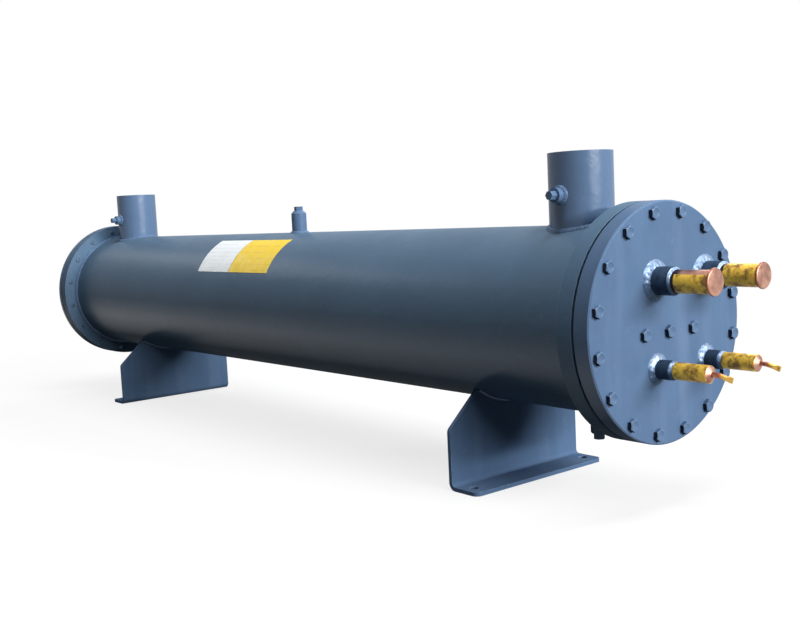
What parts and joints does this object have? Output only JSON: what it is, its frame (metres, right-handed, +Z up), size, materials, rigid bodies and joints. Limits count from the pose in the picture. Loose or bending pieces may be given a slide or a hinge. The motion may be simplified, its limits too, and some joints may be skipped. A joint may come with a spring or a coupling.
{
  "type": "shell and tube heat exchanger",
  "caption": "Long painted steel shell between bolted end plates, with open water nozzles on top, plugged vent and drain, capped copper refrigerant stubs on the head, and bent plate saddle feet.",
  "frame": {"origin": "on the floor, at the centre of the four foot holes, under the middle of the shell", "axes": "+X along the shell towards the head with the refrigerant connections, +Z up, +Y to the right as one faces that head"},
  "size_m": [1.4966, 0.2678, 0.4008],
  "materials": {
    "vessel_paint": "semi-gloss blue-grey enamel",
    "gasket_black": "matt",
    "copper": "drawn copper, slightly dulled",
    "weld_steel": "bare weld and braze metal",
    "yellow_tape": "plain adhesive tape",
    "bolt_steel": "dark oiled bolt tips",
    "label_white": "plain sticker",
    "label_yellow": "plain sticker"
  },
  "bodies": {
    "root": {"shell": "vessel_paint", "tube_bundle": "copper", "front_tube_sheet": "vessel_paint", "rear_tube_sheet": "vessel_paint", "gaskets": "gasket_black", "front_head": "vessel_paint", "rear_cover": "vessel_paint", "front_water_nozzle": "vessel_paint", "rear_water_nozzle": "vessel_paint", "nozzle_tappings": "vessel_paint", "tapping_plugs": "vessel_paint", "vent_and_drain_couplings": "vessel_paint", "vent_and_drain_plugs": "vessel_paint", "front_saddle": "vessel_paint", "rear_saddle": "vessel_paint", "suction_sockets": "vessel_paint", "suction_tubes": "copper", "suction_caps": "copper", "liquid_sockets": "vessel_paint", "liquid_tubes": "copper", "charging_tubes": "copper"}
  },
  "joints": []
}
